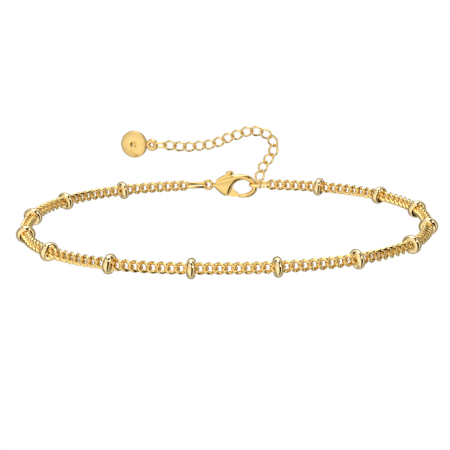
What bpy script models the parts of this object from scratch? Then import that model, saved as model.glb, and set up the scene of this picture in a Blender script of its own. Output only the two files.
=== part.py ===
"""Chain anklet: a curb chain with domed beads, a lobster clasp, an extension chain and a tag.

Metres, Z up. The origin is the centre of the loop, where the ankle goes in. The front of the anklet
is on the -Y side and the clasp is at the back, on the +Y side.
"""
import math

import bmesh
import bpy
import numpy as np
from mathutils import Matrix, Vector

MM = 0.001

# Loop of the worn anklet: a rounded oval in the XY plane
LOOP_HALF_WIDTH = 37.0 * MM
LOOP_HALF_DEPTH = 34.1 * MM
LOOP_SQUARENESS = 2.27
LOOP_SAMPLES = 4000

# Curb chain
LINK_LENGTH = 2.67 * MM
LINK_WIDTH = 2.10 * MM
LINK_WIRE = 0.50 * MM
LINK_TWIST = 45.0
LINK_GAP = 0.06 * MM

# Beads on the chain
BEADS = 14
BEAD_DIAMETER = 3.60 * MM
BEAD_WIDTH = 1.50 * MM
BEAD_BORE_CLEARANCE = 0.13 * MM
BEAD_FREE_LINKS = 6
BEAD_SIDES = 10

# Oval jump links between the chain's ends and the clasp
END_LINK_WIDTH = 2.15 * MM
END_LINK_WIRE = 0.45 * MM
END_LINK_LENGTH = 4.45 * MM

# Lobster clasp
CLASP_CENTRE_X = 1.00 * MM
CLASP_LENGTH = 9.20 * MM
TAIL_RING_DIAMETER = 2.25 * MM
TAIL_RING_WIRE = 0.46 * MM
SLOT_WIDTH = 0.72 * MM
LEVER_THICKNESS = 0.56 * MM
PIN_RADIUS = 0.20 * MM
PIN_CLEARANCE = 0.07 * MM

# Extension chain and tag
EXT_LINK_LENGTH = 2.75 * MM
EXT_LINK_WIDTH = 2.10 * MM
EXT_LINK_WIRE = 0.30 * MM
EXT_LINK_TWIST = 40.0
EXT_RING_DIAMETER = 2.10 * MM
TAG_LINK_TURN = -50.0
TAG_DIAMETER = 5.50 * MM
TAG_EDGE = 0.50 * MM
TAG_DOME = 0.75 * MM
TAG_DIMPLE_DIAMETER = 1.30 * MM
TAG_DIMPLE_DEPTH = 0.30 * MM
TAG_EYE_DIAMETER = 2.50 * MM
TAG_EYE_WIRE = 0.60 * MM
TAG_EYE_SET = 0.10 * MM
TAG_TURN = 16.0
TAG_SIDES = 14

LINK_SEGMENTS = 10
WIRE_SIDES = 5

# Route of the extension chain, from its ring to the tag, in the chain's own plane:
# X from where the right end link hangs in the hook, and Z
EXTENSION_ROUTE = [
    (0.00190, 0.00189), (0.00252, 0.00368), (0.00350, 0.00505), (0.00444, 0.00643), (0.00499, 0.00795),
    (0.00448, 0.00927), (0.00324, 0.01052), (0.00148, 0.01110), (-0.00046, 0.01110), (-0.00231, 0.01051),
    (-0.00422, 0.00994), (-0.00607, 0.00910), (-0.00805, 0.00852), (-0.01016, 0.00828), (-0.01225, 0.00808),
    (-0.01442, 0.00819), (-0.01646, 0.00845), (-0.01820, 0.00850),
]

# Clasp body from the tail to the hook's tip, as shares of CLASP_LENGTH from CLASP_CENTRE_X and Z 0.
# Columns: inner edge x and z, outer edge x and z, half thickness
CLASP_SECTIONS = [
    (-0.416, -0.030, -0.412, 0.022, 0.034),
    (-0.330, -0.105, -0.345, 0.062, 0.062),
    (-0.225, -0.205, -0.262, 0.112, 0.086),
    (-0.112, -0.268, -0.164, 0.155, 0.098),
    (-0.062, -0.255, -0.070, 0.184, 0.100),
    (-0.010, -0.165, 0.000, 0.200, 0.094),
    (0.030, -0.050, 0.060, 0.208, 0.084),
    (0.118, 0.064, 0.120, 0.216, 0.072),
    (0.204, 0.110, 0.206, 0.222, 0.062),
    (0.290, 0.116, 0.308, 0.216, 0.056),
    (0.385, 0.078, 0.436, 0.170, 0.053),
    (0.462, 0.012, 0.548, 0.055, 0.050),
    (0.480, -0.050, 0.582, -0.060, 0.048),
    (0.460, -0.122, 0.550, -0.175, 0.048),
    (0.400, -0.185, 0.456, -0.260, 0.050),
    (0.310, -0.222, 0.325, -0.300, 0.050),
    (0.188, -0.236, 0.168, -0.290, 0.044),
]
CLASP_SIDES = 10

# Outline of the lever's slot in the body, x and z as shares of CLASP_LENGTH
SLOT_OUTLINE = [
    (-0.380, -0.002), (-0.290, -0.100), (-0.130, -0.212), (-0.095, -0.385), (0.125, -0.385),
    (0.130, 0.040), (0.045, 0.080), (0.075, 0.400), (-0.380, 0.400),
]

# Outline of the lever: thumb tab, back, gate, as shares of CLASP_LENGTH
LEVER_OUTLINE = [
    (-0.350, 0.052), (-0.240, -0.055), (-0.085, -0.240), (0.140, -0.270), (0.172, -0.210),
    (0.098, -0.182), (0.045, -0.127), (0.006, -0.056), (-0.022, 0.035), (-0.014, 0.125), (0.012, 0.190),
    (0.026, 0.222), (0.054, 0.246), (0.046, 0.290), (0.010, 0.316), (-0.036, 0.322), (-0.082, 0.312),
    (-0.112, 0.284), (-0.118, 0.242), (-0.108, 0.208), (-0.130, 0.196), (-0.180, 0.178), (-0.262, 0.132),
]
PIVOT = (-0.239, 0.009)

GOLD = (0.83, 0.60, 0.21, 1.0)


def clear_scene():
    for item in list(bpy.data.objects):
        bpy.data.objects.remove(item, do_unlink=True)


def gold(name):
    """Gold-plated brass, one material for each piece."""
    material = bpy.data.materials.new(name)
    material.use_nodes = True
    shader = material.node_tree.nodes["Principled BSDF"]
    shader.inputs["Base Color"].default_value = GOLD
    shader.inputs["Metallic"].default_value = 1.0
    shader.inputs["Roughness"].default_value = 0.2
    return material


def finish_object(mesh, name):
    """Turn a bmesh into a named object with its own material, with its faces outward."""
    bmesh.ops.remove_doubles(mesh, verts=mesh.verts, dist=1e-7)
    bmesh.ops.recalc_face_normals(mesh, faces=mesh.faces)
    data = bpy.data.meshes.new(name)
    mesh.to_mesh(data)
    mesh.free()
    item = bpy.data.objects.new(name, data)
    bpy.context.scene.collection.objects.link(item)
    data.materials.append(gold(name + "_gold"))
    return item


# The loop's path, measured along its length

def loop_table():
    """Points of the loop and the length up to each, starting at the back and going round by the left."""
    turn = np.linspace(0.5 * math.pi, 2.5 * math.pi, LOOP_SAMPLES + 1)
    power = 2.0 / LOOP_SQUARENESS
    x = LOOP_HALF_WIDTH * np.sign(np.cos(turn)) * np.abs(np.cos(turn)) ** power
    y = LOOP_HALF_DEPTH * np.sign(np.sin(turn)) * np.abs(np.sin(turn)) ** power
    steps = np.hypot(np.diff(x), np.diff(y))
    return x, y, np.concatenate([[0.0], np.cumsum(steps)])


LOOP_X, LOOP_Y, LOOP_S = loop_table()
LOOP_LENGTH = LOOP_S[-1]


def loop_at(s):
    """Position and direction of the loop at the length s from the back, going round by the left."""
    reach = 0.1 * LINK_LENGTH
    here, before, after = (Vector((np.interp(v, LOOP_S, LOOP_X), np.interp(v, LOOP_S, LOOP_Y), 0.0))
                           for v in (s, s - reach, s + reach))
    return here, (after - before).normalized()


def back_length(x):
    """Length from the back's middle to where the loop's back passes x."""
    half = LOOP_SAMPLES // 4
    if x < 0.0:
        return float(np.interp(-x, -LOOP_X[:half], LOOP_S[:half]))
    return LOOP_LENGTH - float(np.interp(x, LOOP_X[::-1][:half], LOOP_LENGTH - LOOP_S[::-1][:half]))


# Links

def wire_ring(mesh, centres, radius, sides, inside):
    """Sweep a wire of the given radius round closed centres; a flat side of it faces the inside point."""
    count = len(centres)
    corner = radius * 2.0 / (1.0 + math.cos(math.pi / sides))
    rows = []
    for i, point in enumerate(centres):
        ahead = (centres[(i + 1) % count] - point).normalized()
        behind = (point - centres[i - 1]).normalized()
        along = (ahead + behind).normalized()
        inward = inside - point
        inward = (inward - along * inward.dot(along)).normalized()
        across = along.cross(inward)
        row = []
        for k in range(sides):
            angle = 2.0 * math.pi * (k + 0.5) / sides
            row.append(mesh.verts.new(point + inward * corner * math.cos(angle)
                                      + across * corner * math.sin(angle)))
        rows.append(row)
    faces = {}
    for i in range(count):
        for k in range(sides):
            a, b = rows[i], rows[(i + 1) % count]
            faces[i, k] = mesh.faces.new((a[k], b[k], b[(k + 1) % sides], a[(k + 1) % sides]))
    return faces


def curb_centres(length, width, wire, twist, frame):
    """Centre line of one link, flat ends across the chain, twisted from end to end."""
    half_length = 0.5 * (length - wire)
    half_width = 0.5 * (width - wire)
    flat_end = 1.0 / math.cos(math.pi / LINK_SEGMENTS)
    points = []
    for i in range(LINK_SEGMENTS):
        turn = 2.0 * math.pi * (i + 0.5) / LINK_SEGMENTS
        x = half_length * flat_end * math.cos(turn)
        y = half_width * math.sin(turn)
        lean = math.radians(twist) * math.cos(turn)
        points.append(frame @ Vector((x, y * math.cos(lean), y * math.sin(lean))))
    return points


def add_link(mesh, frame, length, width, wire, twist):
    """One curb link; gives back its forward and rear end, each as the wire's faces there."""
    centres = curb_centres(length, width, wire, twist, frame)
    faces = wire_ring(mesh, centres, 0.5 * wire, WIRE_SIDES, frame.translation)
    return [[faces[segment, side] for side in range(WIRE_SIDES)]
            for segment in (LINK_SEGMENTS - 1, LINK_SEGMENTS // 2 - 1)]


def join_faces(mesh, first_end, second_end, through_bead):
    """Join two links by a solid neck, on the inside where they touch or on the outside in a bead."""
    side = 1 if through_bead else WIRE_SIDES - 1
    first, second = first_end[side], second_end[side]
    ring_a = list(first.verts)
    ring_b = list(second.verts)
    bmesh.ops.delete(mesh, geom=[first, second], context="FACES_ONLY")
    best = None
    for order in (ring_b, ring_b[::-1]):
        for shift in range(4):
            turned = order[shift:] + order[:shift]
            length = sum((a.co - b.co).length for a, b in zip(ring_a, turned))
            if best is None or length < best[0]:
                best = (length, turned)
    ring_b = best[1]
    for i in range(4):
        j = (i + 1) % 4
        mesh.faces.new((ring_a[i], ring_a[j], ring_b[j], ring_b[i]))


def chain_node(name, frames, hidden, length, width, wire, twist):
    """A run of links fused end to end into one body. A neck stands for each link hidden in a bead."""
    mesh = bmesh.new()
    shown = [i for i in range(len(frames)) if i not in hidden]
    ends = [add_link(mesh, frames[i], length, width, wire, twist) for i in shown]
    for k in range(len(shown) - 1):
        join_faces(mesh, ends[k][0], ends[k + 1][1], shown[k + 1] - shown[k] > 1)
    return finish_object(mesh, name)


def frame_from(position, along, up):
    """A frame with X along the chain, Y up and Z out of the chain's side."""
    x = along.normalized()
    y = (up - x * up.dot(x)).normalized()
    z = x.cross(y)
    frame = Matrix((x, y, z)).transposed().to_4x4()
    frame.translation = position
    return frame


def stadium_centres(start, end, width, side, segments):
    """Centre line of a long link from start to end, with round ends and straight sides."""
    along = (end - start).normalized()
    across = along.cross(side).normalized()
    radius = 0.5 * width
    points = []
    for centre, sign in ((end - along * radius, 1.0), (start + along * radius, -1.0)):
        for i in range(segments + 1):
            turn = math.pi * (i / segments - 0.5)
            points.append(centre + (along * math.cos(turn) + across * math.sin(turn)) * radius * sign)
    return points


# Beads

def bead_profile():
    """Radius and place along the chain: bore, rim and dome."""
    bore = 0.5 * LINK_WIDTH + BEAD_BORE_CLEARANCE
    bore /= math.cos(math.pi / BEAD_SIDES)
    outer = 0.5 * BEAD_DIAMETER
    half = 0.5 * BEAD_WIDTH
    shoulder = bore + 0.76 * (outer - bore)
    return [(bore, -half), (shoulder, -0.86 * half), (outer, 0.0), (shoulder, 0.86 * half), (bore, half)]


def spin(mesh, profile, frame, sides, closed):
    """Turn a profile of radius and place round the frame's X axis."""
    rows = []
    for k in range(sides):
        angle = 2.0 * math.pi * (k + 0.5) / sides
        rows.append([mesh.verts.new(frame @ Vector((x, r * math.cos(angle), r * math.sin(angle))))
                     for r, x in profile])
    last = len(profile) if closed else len(profile) - 1
    for k in range(sides):
        a, b = rows[k], rows[(k + 1) % sides]
        for i in range(last):
            j = (i + 1) % len(profile)
            mesh.faces.new((a[i], a[j], b[j], b[i]))
    return rows


def bead(name, frame):
    mesh = bmesh.new()
    spin(mesh, bead_profile(), frame, BEAD_SIDES, True)
    return finish_object(mesh, name)


# Clasp

def clasp_point(share_x, share_z, y=0.0):
    """A point of the clasp from shares of its length, on the plane of the loop's back."""
    return Vector((CLASP_CENTRE_X + CLASP_LENGTH * share_x, LOOP_HALF_DEPTH + y, CLASP_LENGTH * share_z))


def prism(name, outline, half_thickness):
    """A flat piece of the clasp: an outline in shares, extruded across."""
    mesh = bmesh.new()
    near = [mesh.verts.new(clasp_point(x, z, -half_thickness)) for x, z in outline]
    far = [mesh.verts.new(clasp_point(x, z, half_thickness)) for x, z in outline]
    mesh.faces.new(near)
    mesh.faces.new(far[::-1])
    for i in range(len(near)):
        j = (i + 1) % len(near)
        mesh.faces.new((near[i], far[i], far[j], near[j]))
    return finish_object(mesh, name)


def cross_pin(name, radius, half_length, sides):
    """A round pin across the clasp at its pivot."""
    mesh = bmesh.new()
    centre = clasp_point(*PIVOT)
    rings = []
    for side in (-half_length, half_length):
        rings.append([mesh.verts.new(centre + Vector((radius * math.cos(2 * math.pi * k / sides), side,
                                                      radius * math.sin(2 * math.pi * k / sides))))
                      for k in range(sides)])
    mesh.faces.new(rings[0])
    mesh.faces.new(rings[1][::-1])
    for k in range(sides):
        j = (k + 1) % sides
        mesh.faces.new((rings[0][k], rings[1][k], rings[1][j], rings[0][j]))
    return finish_object(mesh, name)


def combine(target, tool, operation):
    """Apply one exact Boolean to the target and drop the tool."""
    modifier = target.modifiers.new("cut", "BOOLEAN")
    modifier.operation = operation
    modifier.solver = "EXACT"
    modifier.object = tool
    bpy.context.view_layer.update()
    graph = bpy.context.evaluated_depsgraph_get()
    data = bpy.data.meshes.new_from_object(target.evaluated_get(graph))
    target.modifiers.clear()
    old = target.data
    name = old.name
    target.data = data
    bpy.data.meshes.remove(old)
    data.name = name
    bpy.data.objects.remove(tool, do_unlink=True)


def clasp_loft():
    """The clasp's casting before its slot: rounded sections from the tail to the hook's tip."""
    mesh = bmesh.new()
    rows = []
    for inner_x, inner_z, outer_x, outer_z, thick in CLASP_SECTIONS:
        inner = clasp_point(inner_x, inner_z)
        outer = clasp_point(outer_x, outer_z)
        middle = 0.5 * (inner + outer)
        reach = 0.5 * (outer - inner)
        row = []
        for k in range(CLASP_SIDES):
            angle = 2.0 * math.pi * k / CLASP_SIDES
            wide = math.copysign(abs(math.cos(angle)) ** 0.85, math.cos(angle))
            deep = math.copysign(abs(math.sin(angle)) ** 0.85, math.sin(angle))
            row.append(mesh.verts.new(middle + reach * wide
                                      + Vector((0.0, CLASP_LENGTH * thick * deep, 0.0))))
        rows.append(row)
    for a, b in zip(rows, rows[1:]):
        for k in range(CLASP_SIDES):
            j = (k + 1) % CLASP_SIDES
            mesh.faces.new((a[k], a[j], b[j], b[k]))
    mesh.faces.new(rows[0][::-1])
    mesh.faces.new(rows[-1])
    return finish_object(mesh, "clasp_body")


def tail_ring_centre():
    wire_reach = 0.5 * TAIL_RING_DIAMETER - 0.5 * TAIL_RING_WIRE
    return clasp_point(CLASP_SECTIONS[0][0], 0.0) - Vector((wire_reach, 0.0, 0.0))


def ring_centres(centre, radius, axis_a, axis_b, count):
    return [centre + (axis_a * math.cos(2 * math.pi * (i + 0.5) / count)
                      + axis_b * math.sin(2 * math.pi * (i + 0.5) / count)) * radius
            for i in range(count)]


def round_ring(name, centre, diameter, wire, axis_a, axis_b, count, sides):
    mesh = bmesh.new()
    radius = 0.5 * (diameter - wire)
    wire_ring(mesh, ring_centres(centre, radius / math.cos(math.pi / count), axis_a, axis_b, count),
              0.5 * wire, sides, centre)
    return finish_object(mesh, name)


X_AXIS = Vector((1.0, 0.0, 0.0))
Y_AXIS = Vector((0.0, 1.0, 0.0))
Z_AXIS = Vector((0.0, 0.0, 1.0))


def build_clasp():
    body = clasp_loft()
    slot = prism("slot", SLOT_OUTLINE, 0.5 * SLOT_WIDTH)
    combine(body, slot, "DIFFERENCE")
    ring = round_ring("tail_ring", tail_ring_centre(), TAIL_RING_DIAMETER, TAIL_RING_WIRE,
                      X_AXIS, Z_AXIS, 10, WIRE_SIDES)
    combine(body, ring, "UNION")
    pin = cross_pin("pin", PIN_RADIUS, 0.5 * SLOT_WIDTH + PIN_RADIUS, 10)
    combine(body, pin, "UNION")
    lever = prism("clasp_lever", LEVER_OUTLINE, 0.5 * LEVER_THICKNESS)
    hole = cross_pin("hole", PIN_RADIUS + PIN_CLEARANCE, LEVER_THICKNESS, 10)
    combine(lever, hole, "DIFFERENCE")
    pivot = clasp_point(*PIVOT)
    lever.data.transform(Matrix.Translation(-pivot))
    lever.location = pivot


def end_link(name, start, end):
    """A long jump link lying level between two wire centres."""
    mesh = bmesh.new()
    width = END_LINK_WIDTH - END_LINK_WIRE
    centres = stadium_centres(start, end, width, Z_AXIS, 5)
    wire_ring(mesh, centres, 0.5 * END_LINK_WIRE, WIRE_SIDES, 0.5 * (start + end))
    return finish_object(mesh, name)


# Extension chain and tag

def along_route(points, s):
    """Position at the length s of a line through the points."""
    for a, b in zip(points, points[1:]):
        step = (b - a).length
        if s <= step:
            break
        s -= step
    return a + (b - a).normalized() * s


def build_extension(hook_x, plane_y):
    """Extension chain as one body; gives back the frame of the link that holds the tag."""
    points = [Vector((hook_x + x, plane_y, z)) for x, z in EXTENSION_ROUTE]
    total = sum((b - a).length for a, b in zip(points, points[1:]))
    taut = EXT_LINK_LENGTH - 2.0 * EXT_LINK_WIRE - LINK_GAP
    steps = max(2, math.ceil(total / taut))
    pitch = total / steps
    frames = []
    for i in range(steps + 1):
        here = along_route(points, i * pitch)
        ahead = along_route(points, min(total, (i + 0.5) * pitch))
        behind = along_route(points, max(0.0, (i - 0.5) * pitch))
        way = (ahead - behind).normalized()
        frames.append(frame_from(here, way, way.cross(Y_AXIS)))
    chain_node("extension_chain", frames[:-1], [], EXT_LINK_LENGTH, EXT_LINK_WIDTH, EXT_LINK_WIRE,
               EXT_LINK_TWIST)
    return frames[-1]


def build_tag_link(frame):
    """The plain link between the chain and the tag's eye, turned across both."""
    mesh = bmesh.new()
    side = frame.to_3x3() @ Matrix.Rotation(math.radians(TAG_LINK_TURN), 3, "X") @ Z_AXIS
    along = frame.to_3x3() @ X_AXIS * 0.5 * (EXT_LINK_LENGTH - EXT_LINK_WIRE)
    centre = frame.translation
    centres = stadium_centres(centre - along, centre + along, EXT_LINK_WIDTH - EXT_LINK_WIRE, side, 4)
    wire_ring(mesh, centres, 0.5 * EXT_LINK_WIRE, WIRE_SIDES, centre)
    return finish_object(mesh, "tag_link")


def tag_profile():
    """Radius and height of the tag: flat back, edge, dome and dimple."""
    outer = 0.5 * TAG_DIAMETER
    hollow = 0.5 * TAG_DIMPLE_DIAMETER
    rows = [(outer, 0.0), (outer, TAG_EDGE)]
    for share in (0.82, 0.55):
        rows.append((outer * share, TAG_EDGE + TAG_DOME * (1.0 - share ** 2)))
    top = TAG_EDGE + TAG_DOME * (1.0 - (hollow / outer) ** 2)
    rows.append((hollow, top))
    rows.append((0.55 * hollow, top - TAG_DIMPLE_DEPTH))
    return rows


def build_tag(eye_wire):
    """Domed tag with its eye, whose far wire is at the given point; the dome faces the front."""
    turn = math.radians(TAG_TURN)
    normal = Vector((-math.sin(turn), -math.cos(turn), 0.0))
    side = Vector((-math.cos(turn), math.sin(turn), 0.0))
    reach = 0.5 * (TAG_EYE_DIAMETER - TAG_EYE_WIRE)
    eye_centre = eye_wire + side * reach
    edge = eye_centre + side * (reach + TAG_EYE_SET)
    centre = edge + side * 0.5 * TAG_DIAMETER - normal * 0.5 * TAG_EDGE
    frame = frame_from(centre, normal, Z_AXIS)
    mesh = bmesh.new()
    rows = spin(mesh, tag_profile(), frame, TAG_SIDES, False)
    mesh.faces.new([row[0] for row in rows])
    mesh.faces.new([row[-1] for row in rows])
    tag = finish_object(mesh, "tag_disc")
    eye = round_ring("eye", eye_centre, TAG_EYE_DIAMETER, TAG_EYE_WIRE, side, Z_AXIS, 10, WIRE_SIDES)
    combine(tag, eye, "UNION")


def main():
    clear_scene()
    build_clasp()

    # Wire centres at the two ends of each long link
    hold = 0.5 * (LINK_WIRE + END_LINK_WIRE) + LINK_GAP
    tail = tail_ring_centre() - X_AXIS * 0.5 * (TAIL_RING_DIAMETER - TAIL_RING_WIRE)
    left_end = tail + X_AXIS * (0.5 * (TAIL_RING_WIRE + END_LINK_WIRE) + LINK_GAP)
    hook = clasp_point(CLASP_SECTIONS[11][0], 0.0)
    right_start = hook - X_AXIS * (0.5 * END_LINK_WIRE + 2.0 * LINK_GAP)
    span = END_LINK_LENGTH - END_LINK_WIRE
    left_s = back_length(left_end.x - span)
    right_s = back_length(right_start.x + span)
    left_start = loop_at(left_s)[0]
    right_end = loop_at(right_s)[0]
    end_link("end_link_left", left_start, left_end)
    end_link("end_link_right", right_start, right_end)

    # The curb chain hangs between them
    first = left_s - hold + 0.5 * (LINK_LENGTH - LINK_WIRE)
    last = right_s + hold - 0.5 * (LINK_LENGTH - LINK_WIRE)
    taut = LINK_LENGTH - 2.0 * LINK_WIRE - LINK_GAP
    steps = math.ceil((last - first) / taut)
    pitch = (last - first) / steps
    frames = []
    for i in range(steps + 1):
        here, way = loop_at(first + i * pitch)
        frames.append(frame_from(here, way, Z_AXIS))
    every = (steps - 2 * BEAD_FREE_LINKS) // (BEADS - 1)
    first_bead = steps - BEAD_FREE_LINKS - every * (BEADS - 1)
    beaded = [first_bead + k * every for k in range(BEADS)]
    for k, i in enumerate(beaded):
        bead("bead_%02d" % (k + 1), frames[i])
    # The two halves of the chain meet between the two middle beads
    middle = first_bead + (BEADS // 2 - 1) * every + every // 2
    chain_node("chain_left", frames[:middle], beaded,
               LINK_LENGTH, LINK_WIDTH, LINK_WIRE, LINK_TWIST)
    chain_node("chain_right", frames[middle:], [i - middle for i in beaded],
               LINK_LENGTH, LINK_WIDTH, LINK_WIRE, LINK_TWIST)

    # Extension: a small ring round the right link's front bar, the fine chain and the tag
    bar = 0.5 * (END_LINK_WIDTH - END_LINK_WIRE)
    plane_y = LOOP_HALF_DEPTH - bar
    ring_radius = 0.5 * (EXT_RING_DIAMETER - EXT_LINK_WIRE)
    ring_z = ring_radius - 0.5 * (END_LINK_WIRE + EXT_LINK_WIRE) - LINK_GAP
    ring_x = right_start.x + EXTENSION_ROUTE[0][0]
    round_ring("extension_ring", Vector((ring_x, plane_y, ring_z)), EXT_RING_DIAMETER, EXT_LINK_WIRE,
               Y_AXIS, Z_AXIS, 10, WIRE_SIDES)
    tail_link = build_extension(right_start.x, plane_y)
    build_tag_link(tail_link)
    eye_hold = 0.5 * (EXT_LINK_LENGTH - EXT_LINK_WIRE) - 0.5 * (EXT_LINK_WIRE + TAG_EYE_WIRE) - LINK_GAP
    build_tag(tail_link.translation + tail_link.to_3x3() @ X_AXIS * eye_hold)


main()
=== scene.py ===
"""The chain anklet's looks: fine links, mirror beads, the clasp, the extension and the tag in gold plate."""
import math

import bmesh
import bpy
import numpy as np
from mathutils import Matrix, Vector


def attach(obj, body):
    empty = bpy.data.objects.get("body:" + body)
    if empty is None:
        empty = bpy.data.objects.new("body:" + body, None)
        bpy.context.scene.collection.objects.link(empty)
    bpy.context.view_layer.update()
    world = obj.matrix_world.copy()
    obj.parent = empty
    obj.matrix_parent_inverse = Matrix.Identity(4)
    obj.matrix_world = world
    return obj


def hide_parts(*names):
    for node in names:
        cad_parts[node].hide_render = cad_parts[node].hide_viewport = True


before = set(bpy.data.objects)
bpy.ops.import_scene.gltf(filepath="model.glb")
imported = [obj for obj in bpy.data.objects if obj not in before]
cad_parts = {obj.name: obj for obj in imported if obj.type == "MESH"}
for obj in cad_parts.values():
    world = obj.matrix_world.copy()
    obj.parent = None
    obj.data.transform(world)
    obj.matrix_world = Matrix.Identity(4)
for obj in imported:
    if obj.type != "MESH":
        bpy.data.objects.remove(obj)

MM = 0.001
X_AXIS = Vector((1.0, 0.0, 0.0))
Y_AXIS = Vector((0.0, 1.0, 0.0))
Z_AXIS = Vector((0.0, 0.0, 1.0))

# Lengths are in metres and angles in degrees. A group headed "looks" belongs to this scene alone. The other
# sizes are those of the part's source, apart from the slot, which is 0.02 mm wider here, and the lever's
# outline, whose tab is lower and wider here.

# The loop and the curb chain
LOOP_HALF_WIDTH = 37.0 * MM
LOOP_HALF_DEPTH = 34.1 * MM
LOOP_SQUARENESS = 2.27
LOOP_SAMPLES = 4000
LINK_LENGTH = 2.67 * MM
LINK_WIDTH = 2.10 * MM
LINK_WIRE = 0.50 * MM
LINK_GAP = 0.06 * MM

# The curb chain's looks: more twist than the solids' 45 degrees, a lean along the chain, and fuller links
LINK_TWIST = 51.0
CHAIN_SLANT = 17.0
LINK_GROWTH = 0.10 * MM
LINK_WIRE_GROWTH = 0.12 * MM
LINK_SEGMENTS = 36
LINK_SIDES = 12

# Beads
BEADS = 14
BEAD_DIAMETER = 3.60 * MM
BEAD_WIDTH = 1.50 * MM
BEAD_FREE_LINKS = 6

# The beads' looks: the tip at the loop's two ends, bore and crown as shares of the outer radius, the place
# of the bore's rim as a share of the half width, and the dome's ends cut back by a share of its spread
BEAD_TIP = 22.0
BEAD_BORE = 0.38
BEAD_CROWN = 0.30
BEAD_DISH = 0.86
BEAD_EDGE = 0.05 * MM
BEAD_DOME_TRIM = 0.04
BEAD_DOME_STEPS = 24
BEAD_SIDES = 56
BEAD_CREASE = 30.0

# Long links, clasp, extension and tag
END_LINK_WIDTH = 2.15 * MM
END_LINK_WIRE = 0.45 * MM
END_LINK_LENGTH = 4.45 * MM
CLASP_CENTRE_X = 1.00 * MM
CLASP_LENGTH = 9.20 * MM
TAIL_RING_DIAMETER = 2.25 * MM
TAIL_RING_WIRE = 0.46 * MM
SLOT_WIDTH = 0.74 * MM
LEVER_THICKNESS = 0.56 * MM
PIN_RADIUS = 0.20 * MM
PIN_CLEARANCE = 0.07 * MM
EXT_LINK_LENGTH = 2.75 * MM
EXT_LINK_WIDTH = 2.10 * MM
EXT_LINK_WIRE = 0.30 * MM
EXT_LINK_TWIST = 40.0
EXT_RING_DIAMETER = 2.10 * MM
TAG_LINK_TURN = -50.0
TAG_DIAMETER = 5.50 * MM
TAG_EDGE = 0.50 * MM
TAG_DOME = 0.75 * MM
TAG_DIMPLE_DIAMETER = 1.30 * MM
TAG_DIMPLE_DEPTH = 0.30 * MM
TAG_EYE_DIAMETER = 2.50 * MM
TAG_EYE_WIRE = 0.60 * MM
TAG_EYE_SET = 0.10 * MM
TAG_TURN = 16.0

# Looks of the wires: the long links' tilt, and how much thicker each is than in the solids
END_LINK_TILT = 16.0
END_LINK_FULLNESS = 1.4
TAIL_RING_FULLNESS = 1.35
TAG_LINK_FULLNESS = 1.5
TAG_EYE_FULLNESS = 1.5
EXT_LINK_GROWTH = 0.08 * MM
EXT_WIRE_GROWTH = 0.11 * MM
EXT_LINK_SIDES = 10
WIRE_SIDES = 16
LONG_LINK_STEPS = 20
RING_STEPS = 48

# The tag's looks: soft edges, a dome lower and flatter than the solid's, and a deeper dimple
TAG_BACK_EDGE = 0.16 * MM
TAG_RIM = 0.20 * MM
TAG_RIM_DROP = 0.10 * MM
TAG_DOME_CUT = 0.30 * MM
TAG_DOME_POWER = 3.0
TAG_DOME_STEPS = 18
TAG_DIMPLE_LIP = 1.12
TAG_DIMPLE_LEDGE = 0.02 * MM
TAG_DIMPLE_DEEPENING = 1.25
TAG_DIMPLE_STEPS = 8
TAG_SIDES = 72
TAG_CREASE = 40.0

# Route of the extension chain, from its ring to the tag, in the chain's own plane:
# X from where the right end link hangs in the hook, and Z
EXTENSION_ROUTE = [
    (0.00190, 0.00189), (0.00252, 0.00368), (0.00350, 0.00505), (0.00444, 0.00643), (0.00499, 0.00795),
    (0.00448, 0.00927), (0.00324, 0.01052), (0.00148, 0.01110), (-0.00046, 0.01110), (-0.00231, 0.01051),
    (-0.00422, 0.00994), (-0.00607, 0.00910), (-0.00805, 0.00852), (-0.01016, 0.00828), (-0.01225, 0.00808),
    (-0.01442, 0.00819), (-0.01646, 0.00845), (-0.01820, 0.00850),
]

# Clasp body from the tail to the hook's tip, as shares of CLASP_LENGTH from CLASP_CENTRE_X and Z 0.
# Columns: inner edge x and z, outer edge x and z, half thickness
CLASP_SECTIONS = [
    (-0.416, -0.030, -0.412, 0.022, 0.034),
    (-0.330, -0.105, -0.345, 0.062, 0.062),
    (-0.225, -0.205, -0.262, 0.112, 0.086),
    (-0.112, -0.268, -0.164, 0.155, 0.098),
    (-0.062, -0.255, -0.070, 0.184, 0.100),
    (-0.010, -0.165, 0.000, 0.200, 0.094),
    (0.030, -0.055, 0.060, 0.210, 0.084),
    (0.118, 0.050, 0.120, 0.219, 0.072),
    (0.204, 0.094, 0.206, 0.224, 0.064),
    (0.290, 0.098, 0.308, 0.218, 0.060),
    (0.378, 0.064, 0.436, 0.172, 0.058),
    (0.456, 0.010, 0.549, 0.056, 0.056),
    (0.468, -0.050, 0.582, -0.060, 0.054),
    (0.448, -0.116, 0.550, -0.175, 0.054),
    (0.388, -0.172, 0.456, -0.260, 0.054),
    (0.304, -0.206, 0.325, -0.300, 0.054),
    (0.188, -0.224, 0.166, -0.292, 0.046),
]

# The clasp's looks. The first sections thin towards their edges by these powers, and the rest are ellipses.
# The hook's tip is rounded off in these turns. The right end link hangs in the hook at HOOK_HOLD
CLASP_LENS = [1.1, 1.25, 1.35, 1.35, 1.35, 1.35, 1.25, 1.1]
CLASP_SIDES = 56
CLASP_STEPS = 6
CLASP_CREASE = 35.0
HOOK_TIP_TURNS = (25, 50, 72)
HOOK_TIP_LENGTH = 0.6
HOOK_HOLD = 0.462
LEVER_STEPS = 3
PIN_SIDES = 24
THUMB_CENTRE = (-0.031, 0.254)
THUMB_RADII = (0.092 * CLASP_LENGTH, 0.5 * MM, 0.054 * CLASP_LENGTH)
THUMB_STEPS = 16
THUMB_SIDES = 32

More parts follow.
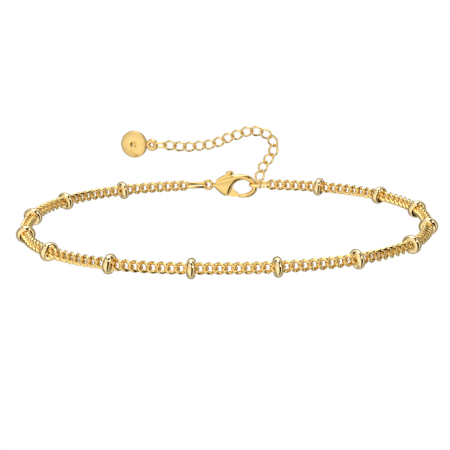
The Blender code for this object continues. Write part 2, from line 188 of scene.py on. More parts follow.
SLOT_OUTLINE = [
    (-0.380, -0.002), (-0.290, -0.100), (-0.130, -0.212), (-0.095, -0.385), (0.125, -0.385),
    (0.130, 0.040), (0.045, 0.080), (0.075, 0.400), (-0.380, 0.400),
]
LEVER_OUTLINE = [
    (-0.350, 0.056), (-0.240, -0.055), (-0.085, -0.240), (0.140, -0.270), (0.172, -0.210),
    (0.110, -0.166), (0.062, -0.112), (0.026, -0.048), (-0.010, 0.035), (-0.014, 0.125), (0.012, 0.190),
    (0.028, 0.216), (0.054, 0.240), (0.046, 0.276), (0.010, 0.298), (-0.036, 0.304), (-0.082, 0.294),
    (-0.112, 0.268), (-0.122, 0.238), (-0.134, 0.218), (-0.156, 0.208), (-0.196, 0.188), (-0.268, 0.146),
]
PIVOT = (-0.239, 0.009)

# Camera, fitted to the photograph: distance, height angle and roll, then the focal length and the picture's
# width and centre in its pixels
CAMERA_DISTANCE = 0.333
CAMERA_HEIGHT = 13.05
CAMERA_ROLL = 0.71
CAMERA_FOCAL = 1796.4
PICTURE = 450.0
PICTURE_CENTRE = (226.8, 222.3)
SENSOR_WIDTH = 36.0

# Studio: the sweep's flat floor, the corner's radius up to the wall, and the dome over it
SWEEP_FLOOR = 2.2
SWEEP_CORNER = 0.8
SWEEP_RADIUS = 3.0
SWEEP_FLOOR_Z = -0.16
SWEEP_SIDES = 64

# Cards that the gold mirrors, each stop its place and its brightness: from the backdrop's middle outwards,
# all the way round from the back, and from below to overhead
BACKDROP_CARDS = [
    (0.0, 1.0), (0.085, 1.0), (0.105, 0.16), (0.235, 0.10), (0.28, 0.85), (0.45, 1.0), (1.0, 1.0),
]
SIDE_CARDS = [
    (0.0, 1.0), (0.17, 1.0), (0.19, 0.12), (0.25, 0.12), (0.27, 0.95), (0.35, 0.95), (0.365, 1.15),
    (0.533, 1.15), (0.541, 0.02), (0.665, 0.02), (0.675, 1.2), (0.73, 1.2), (0.742, 0.06),
    (0.80, 0.06), (0.83, 1.0), (1.0, 1.0),
]
TENT_CARDS = [
    (0.0, 0.85), (0.10, 0.95), (0.28, 1.0), (0.45, 1.05), (0.55, 1.0), (0.68, 0.8), (0.78, 0.8),
    (0.84, 1.2), (0.905, 1.2), (0.915, 0.1), (0.945, 0.1), (0.955, 1.25), (1.0, 1.25),
]
CARD_STRENGTH = 7.6

# Panels: name, place, edge and power in watts
PANELS = (("overhead_panel", (0.0, 0.05, 0.5), 0.35, 0.8), ("front_panel", (0.4, -0.4, 0.25), 0.2, 0.35))

# Gold plate: size of its patches of colour and depth of its relief
PATCH_SIZE = 3.0 * MM
RELIEF_DEPTH = 0.01 * MM

# Points closer than this are one, and edges shorter than the second go
WELD_DISTANCE = 1e-7
SLIVER_LENGTH = 1e-8


# Shades and materials

def linear(code):
    """sRGB hex to linear RGBA."""
    parts = [int(code[i:i + 2], 16) / 255.0 for i in (1, 3, 5)]
    return tuple(c / 12.92 if c <= 0.04045 else ((c + 0.055) / 1.055) ** 2.4 for c in parts) + (1.0,)


def node(tree, kind, settings=None, values=None, links=None):
    """One shader node, with its settings, its socket values and what feeds its sockets."""
    made = tree.nodes.new(kind)
    for key, value in (settings or {}).items():
        setattr(made, key, value)
    for key, value in (values or {}).items():
        made.inputs[key].default_value = value
    for key, source in (links or {}).items():
        tree.links.new(source, made.inputs[key])
    return made


def gold_plate(name, bright, deep, rough_low, rough_high, grain_mm, unevenness):
    """Gold plate over brass: a warm metal whose gloss wanders a little with its polish."""
    material = bpy.data.materials.new(name)
    material.use_nodes = True
    tree = material.node_tree
    tree.nodes.clear()
    place = node(tree, "ShaderNodeTexCoord")
    patches = node(tree, "ShaderNodeTexNoise", values={"Scale": 1.0 / PATCH_SIZE, "Detail": 2.0},
                   links={"Vector": place.outputs["Object"]})
    grain = node(tree, "ShaderNodeTexNoise", values={"Scale": 1.0 / (grain_mm * MM), "Detail": 3.0},
                 links={"Vector": place.outputs["Object"]})
    colour = node(tree, "ShaderNodeMix", {"data_type": "RGBA"}, links={"Factor": patches.outputs["Fac"]})
    colour.inputs[6].default_value = linear(bright)
    colour.inputs[7].default_value = linear(deep)
    gloss = node(tree, "ShaderNodeMapRange",
                 values={"From Min": 0.3, "From Max": 0.7, "To Min": rough_low, "To Max": rough_high},
                 links={"Value": grain.outputs["Fac"]})
    relief = node(tree, "ShaderNodeBump", values={"Strength": unevenness, "Distance": RELIEF_DEPTH},
                  links={"Height": grain.outputs["Fac"]})
    shader = node(tree, "ShaderNodeBsdfPrincipled", values={"Metallic": 1.0},
                  links={"Base Color": colour.outputs[2], "Roughness": gloss.outputs["Result"],
                         "Normal": relief.outputs["Normal"]})
    node(tree, "ShaderNodeOutputMaterial", links={"Surface": shader.outputs["BSDF"]})
    return material


# Polished gold plate on drawn wire: bright yellow, with deep orange where links mirror each other
POLISHED_WIRE = gold_plate("polished_gold_plated_wire", "#FFE19C", "#F9D488", 0.09, 0.15, 0.35, 0.08)
# Mirror-polished gold plate on pressed beads: white panels and hard dark streaks
MIRROR_BEAD = gold_plate("mirror_gold_plated_bead", "#FFE8B6", "#FDDFA4", 0.03, 0.05, 0.8, 0.02)
# Tumbled gold plate on cast brass: a softer, satin yellow
SATIN_CAST = gold_plate("satin_gold_plated_casting", "#FBD88F", "#F1C97A", 0.18, 0.22, 1.2, 0.0)
# Softly brushed gold plate on the struck tag: plain shading, without pictures of the links
SOFT_TAG = gold_plate("softly_brushed_gold_plated_tag", "#FFDF98", "#F6D088", 0.29, 0.32, 1.5, 0.0)


# Meshes

def add_object(name, points, faces, material, smooth=True):
    data = bpy.data.meshes.new(name)
    data.from_pydata([tuple(p) for p in points], [], [tuple(f) for f in faces])
    data.validate()
    work = bmesh.new()
    work.from_mesh(data)
    bmesh.ops.recalc_face_normals(work, faces=work.faces)
    work.to_mesh(data)
    work.free()
    data.polygons.foreach_set("use_smooth", [smooth] * len(data.polygons))
    data.materials.append(material)
    item = bpy.data.objects.new(name, data)
    bpy.context.scene.collection.objects.link(item)
    return item


def swept_wire(centres, radius, sides, inside):
    """Points and faces of a round wire swept along closed centres."""
    count = len(centres)
    points, faces = [], []
    for i, point in enumerate(centres):
        along = (centres[(i + 1) % count] - centres[i - 1]).normalized()
        inward = inside - point
        inward = (inward - along * inward.dot(along)).normalized()
        across = along.cross(inward)
        for k in range(sides):
            angle = 2.0 * math.pi * k / sides
            points.append(point + (inward * math.cos(angle) + across * math.sin(angle)) * radius)
    for i in range(count):
        for k in range(sides):
            a, b = i * sides, ((i + 1) % count) * sides
            j = (k + 1) % sides
            faces.append((a + k, b + k, b + j, a + j))
    return points, faces


def curb_link(length, width, wire, twist, segments, sides):
    """One link of a curb chain at the origin, lying along X."""
    half_length = 0.5 * (length - wire)
    half_width = 0.5 * (width - wire)
    centres = []
    for i in range(segments):
        turn = 2.0 * math.pi * i / segments
        y = half_width * math.sin(turn)
        lean = math.radians(twist) * math.cos(turn)
        centres.append(Vector((half_length * math.cos(turn), y * math.cos(lean), y * math.sin(lean))))
    return swept_wire(centres, 0.5 * wire, sides, Vector((0.0, 0.0, 0.0)))


def chain_piece(name, frames, link, material):
    """Many copies of one link as one mesh."""
    points, faces = link
    local = np.array([tuple(p) + (1.0,) for p in points])
    corners = np.array(faces)
    all_points = [(local @ np.array(place).T)[:, :3] for place in frames]
    all_faces = [corners + i * len(local) for i in range(len(frames))]
    return add_object(name, np.concatenate(all_points), np.concatenate(all_faces).tolist(), material)


def frame_from(position, along, up):
    """A frame with X along the chain, Y up and Z out of the chain's side."""
    x = along.normalized()
    y = (up - x * up.dot(x)).normalized()
    place = Matrix((x, y, x.cross(y))).transposed().to_4x4()
    place.translation = position
    return place


def stadium_centres(start, end, width, side, segments):
    """Centre line of a long link from start to end, with round ends and straight sides."""
    along = (end - start).normalized()
    across = along.cross(side).normalized()
    radius = 0.5 * width
    points = []
    for centre, sign in ((end - along * radius, 1.0), (start + along * radius, -1.0)):
        for i in range(segments + 1):
            turn = math.pi * (i / segments - 0.5)
            points.append(centre + (along * math.cos(turn) + across * math.sin(turn)) * radius * sign)
    return points


def long_link(name, start, end, width, wire, side, material):
    """An oval link of round wire from start to end, its flat side facing along side."""
    centres = stadium_centres(start, end, width - wire, side, LONG_LINK_STEPS)
    points, faces = swept_wire(centres, 0.5 * wire, WIRE_SIDES, 0.5 * (start + end))
    return add_object(name, points, faces, material)


def ring_centres(centre, radius, axis_a, axis_b, count):
    return [centre + (axis_a * math.cos(2 * math.pi * i / count)
                      + axis_b * math.sin(2 * math.pi * i / count)) * radius for i in range(count)]


def round_ring(name, centre, diameter, wire, axis_a, axis_b, material):
    """A ring of round wire in the plane of its two axes."""
    centres = ring_centres(centre, 0.5 * (diameter - wire), axis_a, axis_b, RING_STEPS)
    points, faces = swept_wire(centres, 0.5 * wire, WIRE_SIDES, centre)
    return add_object(name, points, faces, material)


def turned(profile, place, sides, closed):
    """Points and faces of a profile of radius and place, turned round the frame's X axis."""
    points, faces = [], []
    rows = len(profile)
    for k in range(sides):
        angle = 2.0 * math.pi * k / sides
        for r, x in profile:
            points.append(place @ Vector((x, r * math.cos(angle), r * math.sin(angle))))
    for k in range(sides):
        a, b = k * rows, ((k + 1) % sides) * rows
        for i in range(rows if closed else rows - 1):
            j = (i + 1) % rows
            faces.append((a + i, a + j, b + j, b + i))
    return points, faces


def arc(centre_r, centre_x, radius, start, stop, steps):
    """Part of a circle in a turned profile, angles in degrees from the X axis towards larger radius."""
    return [(centre_r + radius * math.sin(math.radians(start + (stop - start) * i / steps)),
             centre_x + radius * math.cos(math.radians(start + (stop - start) * i / steps)))
            for i in range(steps + 1)]


def bead_profile():
    """A rondelle: a domed outside that meets its dished faces in a crisp edge, with a bore."""
    half = 0.5 * BEAD_WIDTH
    outer = 0.5 * BEAD_DIAMETER
    crown = BEAD_CROWN * outer
    dome = (half ** 2 + crown ** 2) / (2.0 * crown)
    spread = math.degrees(math.asin(half / dome))
    rows = [(BEAD_BORE * outer, -BEAD_DISH * half), (outer - crown - BEAD_EDGE, -half)]
    kept = 2.0 - 2.0 * BEAD_DOME_TRIM
    for i in range(BEAD_DOME_STEPS + 1):
        turn = math.radians(-spread + BEAD_DOME_TRIM * spread + kept * spread * i / BEAD_DOME_STEPS)
        rows.append((outer - dome + dome * math.cos(turn), dome * math.sin(turn)))
    rows += [(outer - crown - BEAD_EDGE, half), (BEAD_BORE * outer, BEAD_DISH * half)]
    return rows


# The loop's path

def loop_table():
    """Points of the loop from the back's middle, round by the left, and the length up to each."""
    turn = np.linspace(0.5 * math.pi, 2.5 * math.pi, LOOP_SAMPLES + 1)
    power = 2.0 / LOOP_SQUARENESS
    x = LOOP_HALF_WIDTH * np.sign(np.cos(turn)) * np.abs(np.cos(turn)) ** power
    y = LOOP_HALF_DEPTH * np.sign(np.sin(turn)) * np.abs(np.sin(turn)) ** power
    steps = np.hypot(np.diff(x), np.diff(y))
    return x, y, np.concatenate([[0.0], np.cumsum(steps)])


LOOP_X, LOOP_Y, LOOP_S = loop_table()
LOOP_LENGTH = LOOP_S[-1]


def loop_at(s):
    """Position and direction of the loop at the length s from the back, going round by the left."""
    reach = 0.1 * LINK_LENGTH
    here, before, after = (Vector((np.interp(v, LOOP_S, LOOP_X), np.interp(v, LOOP_S, LOOP_Y), 0.0))
                           for v in (s, s - reach, s + reach))
    return here, (after - before).normalized()


def broad_side_roll(place):
    """The place rolled about the chain, so that the chain shows its broad side as in the photograph."""
    along = place.col[0].x
    roll = math.radians(CHAIN_SLANT) * along - math.atan2(math.tan(math.radians(CAMERA_HEIGHT)), along)
    return place @ Matrix.Rotation(roll, 4, "X")


def back_length(x):
    """Length from the back's middle to where the loop's back passes x."""
    half = LOOP_SAMPLES // 4
    if x < 0.0:
        return float(np.interp(-x, -LOOP_X[:half], LOOP_S[:half]))
    return LOOP_LENGTH - float(np.interp(x, LOOP_X[::-1][:half], LOOP_LENGTH - LOOP_S[::-1][:half]))


# Clasp

def clasp_point(share_x, share_z, y=0.0):
    """A point of the clasp's outline, from its shares of the clasp's length."""
    return Vector((CLASP_CENTRE_X + CLASP_LENGTH * share_x, LOOP_HALF_DEPTH + y, CLASP_LENGTH * share_z))


def smooth_rows(rows, steps, closed=False):
    """Points between the given rows on a smooth curve through them."""
    table = np.array(rows, dtype=float)
    count = len(table)
    out = []
    for i in range(count if closed else count - 1):
        if closed:
            p0, p1, p2, p3 = (table[(i + d) % count] for d in (-1, 0, 1, 2))
        else:
            p0, p1, p2, p3 = (table[min(max(i + d, 0), count - 1)] for d in (-1, 0, 1, 2))
        for k in range(steps):
            t = k / steps
            out.append(0.5 * (2 * p1 + (p2 - p0) * t + (2 * p0 - 5 * p1 + 4 * p2 - p3) * t ** 2
                              + (3 * p1 - p0 - 3 * p2 + p3) * t ** 3))
    if not closed:
        out.append(table[-1])
    return out


def loft_section(row, sides, power):
    """Points round one section of the clasp's body."""
    inner = clasp_point(row[0], row[1])
    outer = clasp_point(row[2], row[3])
    middle = 0.5 * (inner + outer)
    reach = 0.5 * (outer - inner)
    points = []
    for k in range(sides):
        angle = 2.0 * math.pi * k / sides
        wide = math.cos(angle)
        deep = math.copysign(abs(math.sin(angle)) ** power, math.sin(angle))
        points.append(middle + reach * wide + Vector((0.0, CLASP_LENGTH * row[4] * deep, 0.0)))
    return points


def clasp_casting():
    """The body before its slot, lofted smoothly, with a rounded tip on the hook."""
    sides = CLASP_SIDES
    rows = smooth_rows(CLASP_SECTIONS, CLASP_STEPS)
    lens = CLASP_LENS + [1.0] * (len(CLASP_SECTIONS) - len(CLASP_LENS))
    powers = smooth_rows([(power, 0.0) for power in lens], CLASP_STEPS)
    sections = [loft_section(row, sides, power[0]) for row, power in zip(rows, powers)]
    last, before = sections[-1], sections[-2]
    centre = sum(last, Vector()) / sides
    way = (centre - sum(before, Vector()) / sides).normalized()
    size = (last[0] - last[sides // 2]).length * 0.5
    for turn in HOOK_TIP_TURNS:
        lift = way * size * HOOK_TIP_LENGTH * math.sin(math.radians(turn))
        sections.append([centre + (p - centre) * math.cos(math.radians(turn)) + lift for p in last])
    points = [p for section in sections for p in section]
    faces = []
    for a in range(len(sections) - 1):
        for k in range(sides):
            j = (k + 1) % sides
            faces.append((a * sides + k, a * sides + j, (a + 1) * sides + j, (a + 1) * sides + k))
    faces.append(tuple(range(sides))[::-1])
    faces.append(tuple((len(sections) - 1) * sides + k for k in range(sides)))
    return add_object("clasp_body_casting", points, faces, SATIN_CAST)


def prism(name, outline, half_thickness, material):
    """A flat plate with the outline, across the clasp."""
    count = len(outline)
    points = [clasp_point(x, z, -half_thickness) for x, z in outline]
    points += [clasp_point(x, z, half_thickness) for x, z in outline]
    faces = [tuple(range(count)), tuple(range(2 * count - 1, count - 1, -1))]
    for i in range(count):
        j = (i + 1) % count
        faces.append((i, count + i, count + j, j))
    return add_object(name, points, faces, material, False)


def cross_pin(name, radius, half_length, material):
    """A round bar through the pivot, across the clasp."""
    centre = clasp_point(*PIVOT)
    sides = PIN_SIDES
    points = [centre + Vector((radius * math.cos(2 * math.pi * k / sides), side,
                               radius * math.sin(2 * math.pi * k / sides)))
              for side in (-half_length, half_length) for k in range(sides)]
    faces = [tuple(range(sides)), tuple(range(2 * sides - 1, sides - 1, -1))]
    for k in range(sides):
        j = (k + 1) % sides
        faces.append((k, sides + k, sides + j, j))
    return add_object(name, points, faces, material, False)


def combine(target, tool, operation):
    """Apply one exact Boolean and drop the tool."""
    modifier = target.modifiers.new("cut", "BOOLEAN")
    modifier.operation = operation
    modifier.solver = "EXACT"
    modifier.object = tool
    apply_modifiers(target)
    bpy.data.objects.remove(tool, do_unlink=True)


def apply_modifiers(item):
    """Keep the shape that the modifiers give, and drop them."""
    bpy.context.view_layer.update()
    graph = bpy.context.evaluated_depsgraph_get()
    data = bpy.data.meshes.new_from_object(item.evaluated_get(graph))
    item.modifiers.clear()
    item.data = data


def weld(item):
    """Join points that lie on each other."""
    work = bmesh.new()
    work.from_mesh(item.data)
    bmesh.ops.remove_doubles(work, verts=work.verts, dist=WELD_DISTANCE)
    bmesh.ops.dissolve_degenerate(work, edges=work.edges, dist=SLIVER_LENGTH)
    work.to_mesh(item.data)
    work.free()


def shade_by_angle(item, angle):
    """Smooth shading, with a crease at each edge sharper than the angle."""
    work = bmesh.new()
    work.from_mesh(item.data)
    for face in work.faces:
        face.smooth = True
    for edge in work.edges:
        edge.smooth = len(edge.link_faces) == 2 and edge.calc_face_angle(0.0) < math.radians(angle)
    work.to_mesh(item.data)
    work.free()


def tail_ring_centre():
    wire_reach = 0.5 * TAIL_RING_DIAMETER - 0.5 * TAIL_RING_WIRE
    return clasp_point(CLASP_SECTIONS[0][0], 0.0) - X_AXIS * wire_reach


def build_clasp():
    body = clasp_casting()
    combine(body, prism("slot", SLOT_OUTLINE, 0.5 * SLOT_WIDTH, SATIN_CAST), "DIFFERENCE")
    combine(body, round_ring("tail_ring", tail_ring_centre(), TAIL_RING_DIAMETER,
                             TAIL_RING_FULLNESS * TAIL_RING_WIRE, X_AXIS, Z_AXIS, SATIN_CAST), "UNION")
    combine(body, cross_pin("pin", PIN_RADIUS, 0.5 * SLOT_WIDTH + PIN_RADIUS, SATIN_CAST), "UNION")
    shade_by_angle(body, CLASP_CREASE)
    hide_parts("clasp_body")
    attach(body, "anklet")

    outline = smooth_rows(LEVER_OUTLINE, LEVER_STEPS, True)
    lever = prism("clasp_lever_gate", outline, 0.5 * LEVER_THICKNESS, SATIN_CAST)
    combine(lever, thumb_button(), "UNION")
    combine(lever, cross_pin("hole", PIN_RADIUS + PIN_CLEARANCE, LEVER_THICKNESS, SATIN_CAST), "DIFFERENCE")
    shade_by_angle(lever, CLASP_CREASE)
    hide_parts("clasp_lever")
    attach(lever, "lever")


def thumb_button():
    """The rounded button on the lever's tab."""
    radius_x, radius_y, radius_z = THUMB_RADII
    turns = [math.pi * i / THUMB_STEPS for i in range(THUMB_STEPS + 1)]
    rows = [(math.sin(turn), -math.cos(turn)) for turn in turns]
    points, faces = turned(rows, Matrix.Identity(4), THUMB_SIDES, False)
    centre = clasp_point(*THUMB_CENTRE)
    points = [centre + Vector((p.y * radius_x, p.x * radius_y, p.z * radius_z)) for p in points]
    button = add_object("thumb_button", points, faces, SATIN_CAST)
    weld(button)
    return button


# Extension and tag

def along_route(points, s):
    """Position at the length s of a line through the points."""
    for a, b in zip(points, points[1:]):
        step = (b - a).length
        if s <= step:
            break
        s -= step
    return a + (b - a).normalized() * s


def extension_frames(hook_x, plane_y):
    """Places of the fine links along the route, the last one for the tag's link."""
    points = [Vector((hook_x + x, plane_y, z)) for x, z in EXTENSION_ROUTE]
    total = sum((b - a).length for a, b in zip(points, points[1:]))
    taut = EXT_LINK_LENGTH - 2.0 * EXT_LINK_WIRE - LINK_GAP
    steps = max(2, math.ceil(total / taut))
    pitch = total / steps
    frames = []
    for i in range(steps + 1):
        here = along_route(points, i * pitch)
        ahead = along_route(points, min(total, (i + 0.5) * pitch))
        behind = along_route(points, max(0.0, (i - 0.5) * pitch))
        way = (ahead - behind).normalized()
        frames.append(frame_from(here, way, way.cross(Y_AXIS)))
    return frames


def tag_profile():
    """Flat back, rounded rim, a low dome over the whole front and the dimple in its middle."""
    outer = 0.5 * TAG_DIAMETER
    hollow = 0.5 * TAG_DIMPLE_DIAMETER
    rows = [(0.0, 0.0)]
    rows += arc(outer - TAG_BACK_EDGE, TAG_BACK_EDGE, TAG_BACK_EDGE, 180, 90, 5)
    rows += arc(outer - TAG_RIM, TAG_EDGE - TAG_RIM_DROP, TAG_RIM, 84, 36, 4)
    start = rows[-1][0] / outer
    base = rows[-1][1]
    rise = TAG_DOME - TAG_DOME_CUT
    for i in range(1, TAG_DOME_STEPS + 1):
        share = start - (start - hollow * TAG_DIMPLE_LIP / outer) * i / TAG_DOME_STEPS
        rows.append((outer * share, base + rise * (1.0 - (share / start) ** TAG_DOME_POWER)))
    ledge = rows[-1][1] - TAG_DIMPLE_LEDGE
    for i in range(TAG_DIMPLE_STEPS + 1):
        share = 1.0 - i / TAG_DIMPLE_STEPS
        rows.append((hollow * share, ledge - TAG_DIMPLE_DEEPENING * TAG_DIMPLE_DEPTH * (1.0 - share ** 2)))
    return rows


def build_tag(eye_wire):
    """The tag with its eye, hung where the eye's wire meets the last link."""
    turn = math.radians(TAG_TURN)
    normal = Vector((-math.sin(turn), -math.cos(turn), 0.0))
    side = Vector((-math.cos(turn), math.sin(turn), 0.0))
    reach = 0.5 * (TAG_EYE_DIAMETER - TAG_EYE_WIRE)
    eye_centre = eye_wire + side * reach
    edge = eye_centre + side * (reach + TAG_EYE_SET)
    centre = edge + side * 0.5 * TAG_DIAMETER - normal * 0.5 * TAG_EDGE
    points, faces = turned(tag_profile(), frame_from(centre, normal, Z_AXIS), TAG_SIDES, False)
    tag = add_object("tag_domed_disc", points, faces, SOFT_TAG)
    weld(tag)
    combine(tag, round_ring("eye", eye_centre, TAG_EYE_DIAMETER, TAG_EYE_FULLNESS * TAG_EYE_WIRE, side,
                            Z_AXIS, SOFT_TAG), "UNION")
    shade_by_angle(tag, TAG_CREASE)
    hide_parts("tag_disc")
    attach(tag, "anklet")


def wear(piece, cad_node):
    """The piece stands for the CAD node and moves with the anklet."""
    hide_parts(cad_node)
    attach(piece, "anklet")


def build_anklet():
    hold = 0.5 * (LINK_WIRE + END_LINK_WIRE) + LINK_GAP
    tail = tail_ring_centre() - X_AXIS * 0.5 * (TAIL_RING_DIAMETER - TAIL_RING_WIRE)
    left_end = tail + X_AXIS * (0.5 * (TAIL_RING_WIRE + END_LINK_WIRE) + LINK_GAP)
    hook = clasp_point(HOOK_HOLD, 0.0)
    right_start = hook - X_AXIS * (0.5 * END_LINK_WIRE + 2.0 * LINK_GAP)
    span = END_LINK_LENGTH - END_LINK_WIRE
    tilt = math.radians(END_LINK_TILT)
    lean = Vector((0.0, -math.sin(tilt), math.cos(tilt)))
    left_s = back_length(left_end.x - span)
    right_s = back_length(right_start.x + span)
    bar = END_LINK_FULLNESS * END_LINK_WIRE
    wear(long_link("end_link_left_wire", loop_at(left_s)[0], left_end, END_LINK_WIDTH, bar, lean,
                   POLISHED_WIRE), "end_link_left")
    wear(long_link("end_link_right_wire", right_start, loop_at(right_s)[0], END_LINK_WIDTH, bar, lean,
                   POLISHED_WIRE), "end_link_right")

    first = left_s - hold + 0.5 * (LINK_LENGTH - LINK_WIRE)
    last = right_s + hold - 0.5 * (LINK_LENGTH - LINK_WIRE)
    steps = math.ceil((last - first) / (LINK_LENGTH - 2.0 * LINK_WIRE - LINK_GAP))
    pitch = (last - first) / steps
    frames = []
    for i in range(steps + 1):
        here, way = loop_at(first + i * pitch)
        frames.append(frame_from(here, way, Z_AXIS))
    every = (steps - 2 * BEAD_FREE_LINKS) // (BEADS - 1)
    first_bead = steps - BEAD_FREE_LINKS - every * (BEADS - 1)
    points, faces = turned(bead_profile(), Matrix.Identity(4), BEAD_SIDES, True)
    for k in range(BEADS):
        piece = add_object("bead_%02d_dome" % (k + 1), points, faces, MIRROR_BEAD)
        shade_by_angle(piece, BEAD_CREASE)
        place = frames[first_bead + k * every]
        tip = math.radians(BEAD_TIP) * place.col[0].y
        piece.matrix_world = place @ Matrix.Rotation(tip, 4, "Z")
        wear(piece, "bead_%02d" % (k + 1))
    middle = first_bead + (BEADS // 2 - 1) * every + every // 2
    frames = [broad_side_roll(place) for place in frames]
    link = curb_link(LINK_LENGTH + LINK_GROWTH, LINK_WIDTH + LINK_GROWTH, LINK_WIRE + LINK_WIRE_GROWTH,
                     LINK_TWIST, LINK_SEGMENTS, LINK_SIDES)
    wear(chain_piece("chain_left_links", frames[:middle], link, POLISHED_WIRE), "chain_left")
    wear(chain_piece("chain_right_links", frames[middle:], link, POLISHED_WIRE), "chain_right")

    plane_y = LOOP_HALF_DEPTH - 0.5 * (END_LINK_WIDTH - END_LINK_WIRE)
    ring_radius = 0.5 * (EXT_RING_DIAMETER - EXT_LINK_WIRE)
    drop = 0.5 * (END_LINK_WIDTH - END_LINK_WIRE) * math.sin(tilt)
    ring_z = ring_radius - 0.5 * (END_LINK_WIRE + EXT_LINK_WIRE) - LINK_GAP - drop
    wear(round_ring("extension_ring_wire", Vector((right_start.x + EXTENSION_ROUTE[0][0], plane_y, ring_z)),
                    EXT_RING_DIAMETER, EXT_LINK_WIRE, Y_AXIS, Z_AXIS, POLISHED_WIRE),
         "extension_ring")
    places = extension_frames(right_start.x, plane_y)
    fine_link = curb_link(EXT_LINK_LENGTH + EXT_LINK_GROWTH, EXT_LINK_WIDTH,
                          EXT_LINK_WIRE + EXT_WIRE_GROWTH, EXT_LINK_TWIST, LINK_SEGMENTS, EXT_LINK_SIDES)
    wear(chain_piece("extension_links", places[:-1], fine_link, POLISHED_WIRE), "extension_chain")
    last_place = places[-1]
    turn = last_place.to_3x3()
    side = turn @ Matrix.Rotation(math.radians(TAG_LINK_TURN), 3, "X") @ Z_AXIS
    along = turn @ X_AXIS
    reach = along * 0.5 * (EXT_LINK_LENGTH - EXT_LINK_WIRE)
    wear(long_link("tag_link_wire", last_place.translation - reach, last_place.translation + reach,
                   EXT_LINK_WIDTH, TAG_LINK_FULLNESS * EXT_LINK_WIRE, side, POLISHED_WIRE),
         "tag_link")
    eye_hold = 0.5 * (EXT_LINK_LENGTH - EXT_LINK_WIRE) - 0.5 * (EXT_LINK_WIRE + TAG_EYE_WIRE) - LINK_GAP
    build_tag(last_place.translation + along * eye_hold)
    build_clasp()


# Studio

def studio_sweep():
    """A white sweep that is floor, walls and ceiling in one; the gold mirrors the surround instead."""
    wall_z = SWEEP_FLOOR_Z + SWEEP_CORNER
    turns = [math.radians(angle) for angle in range(10, 91, 10)]
    rows = [(0.0, SWEEP_FLOOR_Z), (SWEEP_FLOOR, SWEEP_FLOOR_Z)]
    rows += [(SWEEP_FLOOR + SWEEP_CORNER * math.sin(a), wall_z - SWEEP_CORNER * math.cos(a)) for a in turns]
    rows += [(SWEEP_RADIUS * math.cos(a), wall_z + SWEEP_RADIUS * math.sin(a)) for a in turns]
    upright = Matrix(((0, 0, -1, 0), (0, 1, 0, 0), (1, 0, 0, 0), (0, 0, 0, 1)))
    points, faces = turned(rows, upright, SWEEP_SIDES, False)
    sweep = add_object("studio_sweep", points, faces, white_board())
    weld(sweep)
    sweep.visible_glossy = False
    sweep.visible_shadow = False


def card(level):
    """Colour of a studio card: white when bright, warm brown when dark."""
    warm = max(0.0, 1.0 - 2.0 * level)
    return (0.5 * level, 0.5 * level * (1.0 - 0.35 * warm), 0.5 * level * (0.98 - 0.75 * warm), 1.0)


def cards(tree, source, stops):
    """Cards in a row along the source, each stop its place and its brightness."""
    ramp = node(tree, "ShaderNodeValToRGB", links={"Fac": source})
    while len(ramp.color_ramp.elements) < len(stops):
        ramp.color_ramp.elements.new(0.5)
    for element, (place, level) in zip(ramp.color_ramp.elements, stops):
        element.position = place
        element.color = card(level)
    return ramp.outputs["Color"]


def studio_surround():
    """What the gold mirrors: a white tent with dark cards round the backdrop, at the sides and overhead."""
    world = bpy.data.worlds.new("studio_surround")
    bpy.context.scene.world = world
    world.use_nodes = True
    tree = world.node_tree
    tree.nodes.clear()
    way = node(tree, "ShaderNodeTexCoord").outputs["Generated"]
    axes = node(tree, "ShaderNodeSeparateXYZ", links={"Vector": way})
    lean = math.radians(CAMERA_HEIGHT)
    facing = node(tree, "ShaderNodeVectorMath", {"operation": "DOT_PRODUCT"}, links={0: way})
    facing.inputs[1].default_value = (0.0, math.cos(lean), -math.sin(lean))
    spread = node(tree, "ShaderNodeMath", {"operation": "ARCCOSINE"}, links={0: facing.outputs["Value"]})
    ring = node(tree, "ShaderNodeMath", {"operation": "DIVIDE"}, {1: math.pi}, {0: spread.outputs[0]})
    back_cards = cards(tree, ring.outputs[0], BACKDROP_CARDS)
    front = node(tree, "ShaderNodeMath", {"operation": "MULTIPLY"}, {1: -1.0}, {0: axes.outputs["Y"]})
    turn = node(tree, "ShaderNodeMath", {"operation": "ARCTAN2"},
                links={0: axes.outputs["X"], 1: front.outputs[0]})
    share = node(tree, "ShaderNodeMapRange", values={"From Min": -math.pi, "From Max": math.pi},
                 links={"Value": turn.outputs[0]})
    side_cards = cards(tree, share.outputs["Result"], SIDE_CARDS)
    height = node(tree, "ShaderNodeMapRange", values={"From Min": -1.0, "From Max": 1.0},
                  links={"Value": axes.outputs["Z"]})
    tent = cards(tree, height.outputs["Result"], TENT_CARDS)
    both = node(tree, "ShaderNodeVectorMath", {"operation": "MULTIPLY"},
                links={0: back_cards, 1: side_cards})
    whole = node(tree, "ShaderNodeVectorMath", {"operation": "MULTIPLY"},
                 links={0: both.outputs[0], 1: tent})
    shine = node(tree, "ShaderNodeBackground", values={"Strength": CARD_STRENGTH},
                 links={"Color": whole.outputs[0]})
    node(tree, "ShaderNodeOutputWorld", links={"Surface": shine.outputs["Background"]})


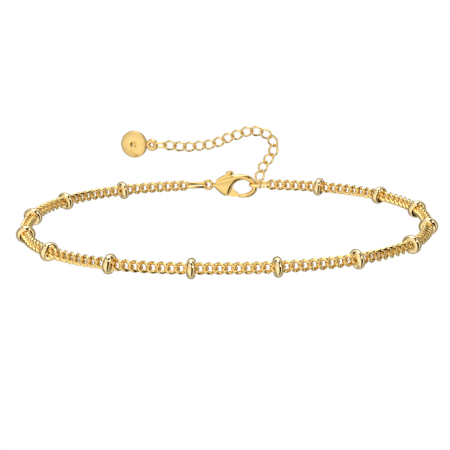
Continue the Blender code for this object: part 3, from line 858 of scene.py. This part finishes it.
def build_studio():
    studio_sweep()
    studio_surround()
    for name, position, size, power in PANELS:
        light = bpy.data.lights.new(name, "AREA")
        light.size = size
        light.energy = power
        item = bpy.data.objects.new(name, light)
        bpy.context.scene.collection.objects.link(item)
        item.location = position
        item.rotation_euler = (-Vector(position)).to_track_quat("-Z", "Y").to_euler()


def white_board():
    """Opal acrylic lit from behind: plain white, with a mottle too faint to see."""
    material = bpy.data.materials.new("backlit_opal_acrylic")
    material.use_nodes = True
    tree = material.node_tree
    shader = tree.nodes["Principled BSDF"]
    mottle = node(tree, "ShaderNodeTexNoise", values={"Scale": 3.0})
    tone = node(tree, "ShaderNodeMapRange", values={"To Min": 0.99, "To Max": 1.0},
                links={"Value": mottle.outputs["Fac"]})
    tree.links.new(tone.outputs["Result"], shader.inputs["Emission Strength"])
    shader.inputs["Base Color"].default_value = (0.004, 0.004, 0.004, 1.0)
    shader.inputs["Roughness"].default_value = 1.0
    shader.inputs["Specular IOR Level"].default_value = 0.0
    shader.inputs["Emission Color"].default_value = (1.0, 1.0, 1.0, 1.0)
    return material


def build_camera():
    lean = math.radians(CAMERA_HEIGHT)
    roll = math.radians(CAMERA_ROLL)
    back = Vector((0.0, -math.cos(lean), math.sin(lean)))
    up = Vector((0.0, math.sin(lean), math.cos(lean)))
    right = X_AXIS * math.cos(roll) - up * math.sin(roll)
    tilted_up = X_AXIS * math.sin(roll) + up * math.cos(roll)
    camera = bpy.data.cameras.new("photo_camera")
    camera.sensor_width = SENSOR_WIDTH
    camera.lens = SENSOR_WIDTH * CAMERA_FOCAL / PICTURE
    camera.shift_x = (0.5 * PICTURE - PICTURE_CENTRE[0]) / PICTURE
    camera.shift_y = (PICTURE_CENTRE[1] - 0.5 * PICTURE) / PICTURE
    camera.clip_start = 0.01
    item = bpy.data.objects.new("photo_camera", camera)
    bpy.context.scene.collection.objects.link(item)
    place = Matrix((right, tilted_up, back)).transposed().to_4x4()
    place.translation = back * CAMERA_DISTANCE
    item.matrix_world = place
    bpy.context.scene.camera = item
    bpy.context.scene.view_settings.view_transform = "Standard"


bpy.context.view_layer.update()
build_anklet()
build_studio()
build_camera()
